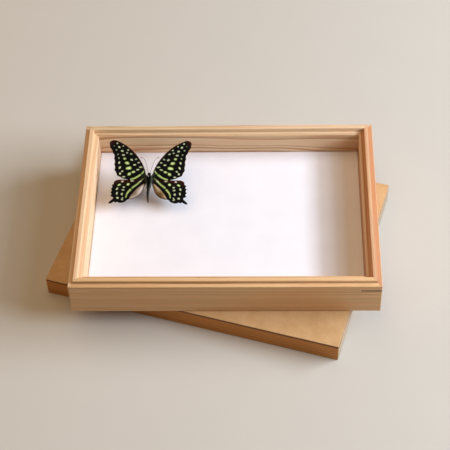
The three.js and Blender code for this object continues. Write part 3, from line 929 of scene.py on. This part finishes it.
# short hair over the thorax and head, one thin three-sided spike each
def bodyHair():
    rng = random.Random(7)
    verts, faces, colours = [], [], []
    dark, pale = linear["black"], np.array(hexColour(insectLook["hairPale"])[:3])
    for _ in range(insectLook["hairs"]):
        y = rng.uniform(-12.0, 6.2)
        around = rng.uniform(0, 2 * math.pi)
        width = np.interp(y, [-12, -8.8, -7.2, -5, -2.4, 0.2, 1.9, 3.1, 3.8, 4.6, 6.2],
                          [1.4, 1.8, 2.4, 3.1, 3.5, 3.5, 2.9, 1.9, 1.0, 1.4, 0.9])
        outward = Vector((math.cos(around), 0, math.sin(around)))
        root = Vector((outward.x * width * 0.95, y, outward.z * width * 0.82 + 0.3))
        length = insectLook["hairLength"] * rng.uniform(0.5, 1.2) * (0.5 if y > 3.0 else 1.0)
        lean = Vector((rng.uniform(-0.35, 0.35), -0.9 + rng.uniform(-0.4, 0.3), rng.uniform(-0.2, 0.3)))
        tip = root + (outward * 0.55 + lean).normalized() * length
        side = (tip - root).cross(outward).normalized() * 0.07
        lift = (tip - root).cross(side).normalized() * 0.07
        first = len(verts)
        verts += [root + side, root - side * 0.5 + lift, root - side * 0.5 - lift, tip]
        faces += [(first, first + 1, first + 3), (first + 1, first + 2, first + 3),
                  (first + 2, first, first + 3), (first, first + 2, first + 1)]
        flank = min(1.0, abs(outward.x) ** 3 * 1.2) * rng.uniform(0.2, 0.9) * (y < 2.5)
        tone = dark + (pale - dark) * flank
        colours += [tone] * 4
    mesh = bpy.data.meshes.new("butterfly_hair")
    mesh.from_pydata([toFrame @ v for v in verts], [], faces)
    layer = mesh.color_attributes.new("scales", "FLOAT_COLOR", "POINT")
    rgba = np.ones((len(verts), 4), np.float32)
    rgba[:, :3] = np.array(colours)
    layer.data.foreach_set("color", rgba.ravel())
    return pieceFrom("butterfly_hair", mesh, insectHair(), "insect_hair")


antennaPath = [(0.8, 6.2, 0.9), (2.0, 10.0, 1.6), (3.5, 15.4, 2.2), (5.0, 20.0, 2.6), (6.8, 23.2, 2.8),
               (8.7, 24.8, 2.8), (10.6, 24.6, 2.7)]


# thin ringed shaft that thickens into a small curved club
def antenna(side, sideName):
    work = bmesh.new()
    steps = 90
    line = [Vector(p) for p in antennaPath]
    points, radii = [], []
    for i in range(steps + 1):
        t = i / steps * (len(line) - 1)
        k = min(int(t), len(line) - 2)
        a, b, c, d = line[max(k - 1, 0)], line[k], line[k + 1], line[min(k + 2, len(line) - 1)]
        u = t - k
        squared, cubed = 2 * a - 5 * b + 4 * c - d, 3 * b - a - 3 * c + d
        point = 0.5 * ((2 * b) + (c - a) * u + squared * u * u + cubed * u ** 3)
        points.append((side * point.x, point.y, point.z))
        club = math.exp(-((i / steps - 0.92) / 0.07) ** 2)
        ringed = 1 + 0.12 * (i % 2)
        radii.append((0.15 * ringed + 0.3 * club) * min(1, (1 - i / steps) * 20 + 0.2))
    rod(work, points, radii, 8)
    return finishInsect(work, f"antenna_{sideName}_set",
                        [chitin(f"antennaChitin{sideName.title()}", insectLook["antenna"], 0.5)],
                        f"antenna_{sideName}")


# the pin again, truly round, with a small turned head
def pinPiece():
    work = bmesh.new()
    rings = [(-29.0, 0.02), (-27.0, 0.25), (8.2, 0.25), (8.3, 0.55), (8.5, 0.68), (8.75, 0.68), (8.92, 0.45),
             (9.0, 0.1)]
    rod(work, [(0, 0, z) for z, _ in rings], [r for _, r in rings], 20)
    for vert in work.verts:
        vert.co.y += setting["pinPlace"]
    bmesh.ops.recalc_face_normals(work, faces=work.faces)
    mesh = bpy.data.meshes.new("steel_pin")
    work.to_mesh(mesh)
    work.free()
    mesh.transform(toFrame)
    for polygon in mesh.polygons:
        polygon.use_smooth = True
    return pieceFrom("steel_pin", mesh, pinSteel(), "pin_steel", "insect_pin")


insectBody()
bodyHair()
antenna(1, "right")
antenna(-1, "left")
pinPiece()
print("butterfly assembled")


stageLook = {"floor": "#CDC7BC", "size": 6.0}


# plain pale paper floor
def layFloor():
    material, tree, shader = newMaterial("palePaper")
    place = grainSpace(tree, 0, (0, 0, 0))
    cloud = addNode(tree, "ShaderNodeTexNoise", {"Vector": place, "Scale": 1 / 60, "Detail": 2.0})
    tone = addNode(tree, "ShaderNodeMapRange", {"Value": cloud.outputs["Fac"], "To Min": 0.97, "To Max": 1.0})
    paper = addNode(tree, "ShaderNodeMix", {"Factor": 1.0, "A": hexColour(stageLook["floor"]),
                                            "B": tone.outputs[0]}, data_type="RGBA", blend_type="MULTIPLY")
    tree.links.new(paper.outputs["Result"], shader.inputs["Base Color"])
    shader.inputs["Roughness"].default_value = 0.9
    work = bmesh.new()
    bmesh.ops.create_grid(work, x_segments=1, y_segments=1, size=stageLook["size"])
    mesh = bpy.data.meshes.new("floor")
    work.to_mesh(mesh)
    work.free()
    mesh.materials.append(material)
    floor = bpy.data.objects.new("floor", mesh)
    bpy.context.scene.collection.objects.link(floor)
    floor.location.z = -0.0002


layFloor()

# a tall window on the right, brightest low down, and warm room light off the ceiling
lighting = {
    "windowLow": {"direction": (1.0, 0.0, 0.512), "away": 2.6, "size": (2.4, 0.36), "power": 86,
                  "code": "#E2EFFF"},
    "windowMiddle": {"direction": (1.0, 0.0, 0.722), "away": 2.6, "size": (2.4, 0.45), "power": 27,
                     "code": "#E2EFFF"},
    "windowHigh": {"direction": (1.0, 0.0, 1.08), "away": 2.6, "size": (2.4, 0.80), "power": 14,
                   "code": "#E2EFFF"},
    "ceiling": {"direction": (-0.35, 0.15, 1.0), "away": 2.2, "size": (3.6, 3.6), "power": 33,
                "code": "#FFDFB6"},
}
roomLook = {"colour": "#FFC993", "strength": 0.08}


def areaLight(name, direction, away, size, power, code):
    data = bpy.data.lights.new(name, "AREA")
    data.shape = "RECTANGLE"
    data.size, data.size_y = size
    data.energy = power
    data.color = hexColour(code)[:3]
    lamp = bpy.data.objects.new(name, data)
    lamp.location = (cadBox[0] + cadBox[1]) / 2 + Vector(direction).normalized() * away
    lamp.rotation_euler = Vector(direction).to_track_quat("Z", "Y").to_euler()
    bpy.context.scene.collection.objects.link(lamp)


for name, light in lighting.items():
    areaLight(name, **light)

world = bpy.data.worlds.new("room")
bpy.context.scene.world = world
world.use_nodes = True
background = world.node_tree.nodes["Background"]
background.inputs["Color"].default_value = hexColour(roomLook["colour"])
background.inputs["Strength"].default_value = roomLook["strength"]

cameraSet = {
    "aim": (-2.1, -14.4, 11.0),   # mm from the middle of the foam
    "away": 1515.7,               # mm
    "azimuth": 3.17,              # degrees, camera to the right of straight on
    "elevation": 49.77,
    "roll": -2.63,
    "lens": 109.6,
}


def placeCamera():
    foamLow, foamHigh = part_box("pinning_foam")
    aim = (foamLow + foamHigh) / 2 + Vector(cameraSet["aim"]) * mm
    azimuth, elevation = math.radians(cameraSet["azimuth"]), math.radians(cameraSet["elevation"])
    back = Vector((math.sin(azimuth) * math.cos(elevation), -math.cos(azimuth) * math.cos(elevation),
                   math.sin(elevation)))
    data = bpy.data.cameras.new("camera")
    data.lens = cameraSet["lens"]
    camera = bpy.data.objects.new("camera", data)
    roll = Matrix.Rotation(math.radians(cameraSet["roll"]), 4, "Z")
    camera.matrix_world = (Matrix.Translation(aim + back * cameraSet["away"] * mm)
                           @ back.to_track_quat("Z", "Y").to_matrix().to_4x4() @ roll)
    bpy.context.scene.collection.objects.link(camera)
    bpy.context.scene.camera = camera


placeCamera()
bpy.context.scene.view_settings.view_transform = "Standard"
print("stage, lights and camera ready")
